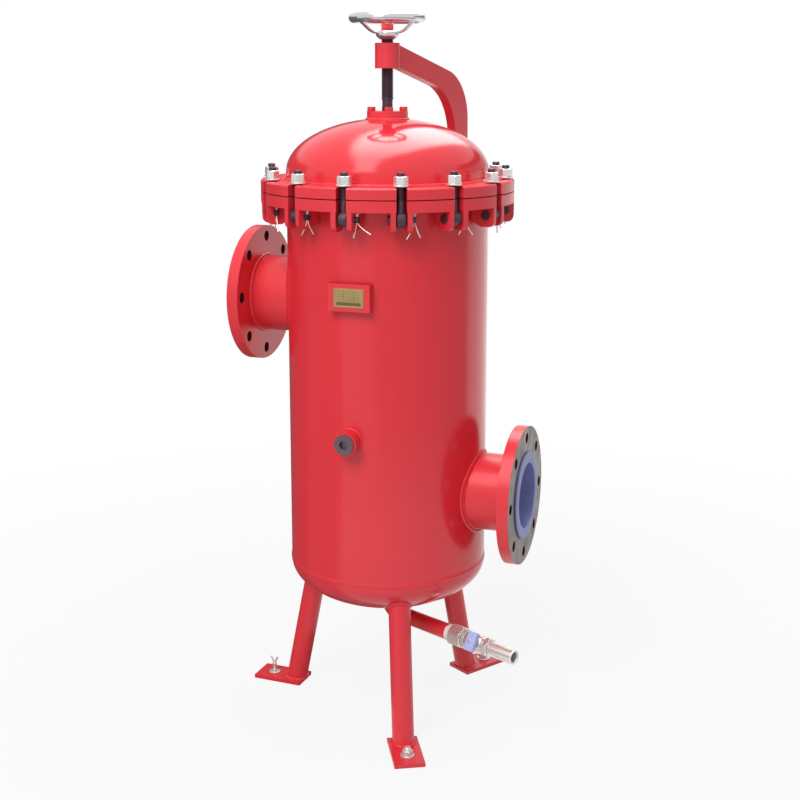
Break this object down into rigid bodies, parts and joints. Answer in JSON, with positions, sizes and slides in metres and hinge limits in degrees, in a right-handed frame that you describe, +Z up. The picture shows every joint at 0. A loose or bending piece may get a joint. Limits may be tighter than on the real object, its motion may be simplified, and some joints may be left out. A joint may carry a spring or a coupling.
{
  "type": "return line filter",
  "caption": "Vertical return line filter vessel on three legs, with flanged side ports, swing-bolted domed lid, screw davit and drain valve.",
  "frame": {"origin": "on the vessel's axis at floor level, at the centre of the foot bolt circle", "axes": "+Z up along the vessel, +X out of the outlet flange, -X out of the inlet flange, -Y the front with the nameplate"},
  "size_m": [0.6428, 0.6055, 1.4628],
  "materials": {
    "red_paint": "gloss enamel",
    "black_steel": "black oxide",
    "bolt_steel": "black oxide bolt, zinc nut",
    "chrome": "polished",
    "nickel_steel": "nickel plated",
    "polished_ball": "polished",
    "blue_handle": "satin",
    "blue_plastic": "moulded",
    "brass_plate": "satin",
    "gasket_rubber": "matte",
    "plain_steel": "machined",
    "cap_metal": "zinc plated",
    "filter_media": "pleated"
  },
  "bodies": {
    "root": {"vessel_shell": "red_paint", "lower_head": "red_paint", "body_flange": "red_paint", "lid_flange": "red_paint", "hinge_ears": "red_paint", "lid_dome": "red_paint", "lid_boss": "red_paint", "hub_plate": "red_paint", "hub_bolts": "red_paint", "davit_arm": "red_paint", "davit_post": "red_paint", "davit_socket": "red_paint", "davit_bracket": "red_paint", "inlet_pipe": "red_paint", "inlet_flange": "red_paint", "outlet_pipe": "red_paint", "outlet_flange": "red_paint", "support_legs": "red_paint", "foot_plates": "red_paint", "drain_pipe": "red_paint", "nameplate_holder": "red_paint", "port_boss": "red_paint", "hinge_pins": "black_steel", "port_plug": "black_steel", "valve_body": "nickel_steel", "drain_spigot": "nickel_steel", "nameplate": "brass_plate", "gasket": "gasket_rubber", "support_ring": "plain_steel", "tube_sheet": "plain_steel", "hold_down_plate": "plain_steel", "tie_rods": "plain_steel", "bypass_body": "plain_steel", "bypass_spring": "plain_steel", "element_caps": "cap_metal", "element_media": "filter_media"},
    "lift_ring": {"thrust_ring": "plain_steel"},
    "screw": {"lift_screw": "black_steel", "handwheel": "chrome", "wheel_nut": "red_paint"},
    "outlet_cap": {"outlet_plug": "blue_plastic"},
    "drain_handle": {"valve_ball": "polished_ball", "valve_stem": "nickel_steel", "valve_handle": "blue_handle"},
    "bypass_disc": {"bypass_poppet": "plain_steel"},
    "bolt_01": {"swing_bolt_01": "bolt_steel"},
    "bolt_02": {"swing_bolt_02": "bolt_steel"},
    "bolt_03": {"swing_bolt_03": "bolt_steel"},
    "bolt_04": {"swing_bolt_04": "bolt_steel"},
    "bolt_05": {"swing_bolt_05": "bolt_steel"},
    "bolt_06": {"swing_bolt_06": "bolt_steel"},
    "bolt_07": {"swing_bolt_07": "bolt_steel"},
    "bolt_08": {"swing_bolt_08": "bolt_steel"},
    "bolt_09": {"swing_bolt_09": "bolt_steel"},
    "bolt_10": {"swing_bolt_10": "bolt_steel"},
    "bolt_11": {"swing_bolt_11": "bolt_steel"},
    "bolt_12": {"swing_bolt_12": "bolt_steel"},
    "bolt_13": {"swing_bolt_13": "bolt_steel"},
    "bolt_14": {"swing_bolt_14": "bolt_steel"}
  },
  "joints": [
    {"name": "bolt_swing_01", "type": "hinge", "parent": "root", "child": "bolt_01", "pos_m": [0, -0.24, 1.075], "axis": [1, 0, 0], "range_deg": [0, 170]},
    {"name": "bolt_swing_02", "type": "hinge", "parent": "root", "child": "bolt_02", "pos_m": [0.10413, -0.21623, 1.075], "axis": [0.901, 0.4339, 0], "range_deg": [0, 170]},
    {"name": "bolt_swing_03", "type": "hinge", "parent": "root", "child": "bolt_03", "pos_m": [0.18764, -0.14964, 1.075], "axis": [0.6235, 0.7818, 0], "range_deg": [0, 170]},
    {"name": "bolt_swing_04", "type": "hinge", "parent": "root", "child": "bolt_04", "pos_m": [0.23398, -0.05341, 1.075], "axis": [0.2225, 0.9749, 0], "range_deg": [0, 170]},
    {"name": "bolt_swing_05", "type": "hinge", "parent": "root", "child": "bolt_05", "pos_m": [0.23398, 0.05341, 1.075], "axis": [-0.2225, 0.9749, 0], "range_deg": [0, 170]},
    {"name": "bolt_swing_06", "type": "hinge", "parent": "root", "child": "bolt_06", "pos_m": [0.18764, 0.14964, 1.075], "axis": [-0.6235, 0.7818, 0], "range_deg": [0, 170]},
    {"name": "bolt_swing_07", "type": "hinge", "parent": "root", "child": "bolt_07", "pos_m": [0.10413, 0.21623, 1.075], "axis": [-0.901, 0.4339, 0], "range_deg": [0, 170]},
    {"name": "bolt_swing_08", "type": "hinge", "parent": "root", "child": "bolt_08", "pos_m": [0, 0.24, 1.075], "axis": [-1, 0, 0], "range_deg": [0, 170]},
    {"name": "bolt_swing_09", "type": "hinge", "parent": "root", "child": "bolt_09", "pos_m": [-0.10413, 0.21623, 1.075], "axis": [-0.901, -0.4339, 0], "range_deg": [0, 170]},
    {"name": "bolt_swing_10", "type": "hinge", "parent": "root", "child": "bolt_10", "pos_m": [-0.18764, 0.14964, 1.075], "axis": [-0.6235, -0.7818, 0], "range_deg": [0, 170]},
    {"name": "bolt_swing_11", "type": "hinge", "parent": "root", "child": "bolt_11", "pos_m": [-0.23398, 0.05341, 1.075], "axis": [-0.2225, -0.9749, 0], "range_deg": [0, 115]},
    {"name": "bolt_swing_12", "type": "hinge", "parent": "root", "child": "bolt_12", "pos_m": [-0.23398, -0.05341, 1.075], "axis": [0.2225, -0.9749, 0], "range_deg": [0, 115]},
    {"name": "bolt_swing_13", "type": "hinge", "parent": "root", "child": "bolt_13", "pos_m": [-0.18764, -0.14964, 1.075], "axis": [0.6235, -0.7818, 0], "range_deg": [0, 170]},
    {"name": "bolt_swing_14", "type": "hinge", "parent": "root", "child": "bolt_14", "pos_m": [-0.10413, -0.21623, 1.075], "axis": [0.901, -0.4339, 0], "range_deg": [0, 170]},
    {"name": "screw_rise", "type": "slide", "parent": "root", "child": "lift_ring", "axis": [0, 0, 1], "range_m": [0, 0.006]},
    {"name": "handwheel_turn", "type": "hinge", "parent": "lift_ring", "child": "screw", "pos_m": [0, 0, 1.42], "axis": [0, 0, 1], "range_deg": [0, 720]},
    {"name": "outlet_cap_pull", "type": "slide", "parent": "root", "child": "outlet_cap", "axis": [1, 0, 0], "range_m": [0, 0.06]},
    {"name": "drain_handle_turn", "type": "hinge", "parent": "root", "child": "drain_handle", "pos_m": [0.23564, -0.10988, 0.203], "axis": [-0.3731, -0.8002, 0.4695], "range_deg": [0, 90]},
    {"name": "bypass_lift", "type": "slide", "parent": "root", "child": "bypass_disc", "axis": [0, 0, -1], "range_m": [0, 0.008], "stiffness_N_per_m": 8000, "springref_m": -0.01, "deforming": ["bypass_spring"]}
  ],
  "couplings": [
    {"joint": "screw_rise", "follows": "handwheel_turn", "m_per_rad": 0.00047746}
  ]
}
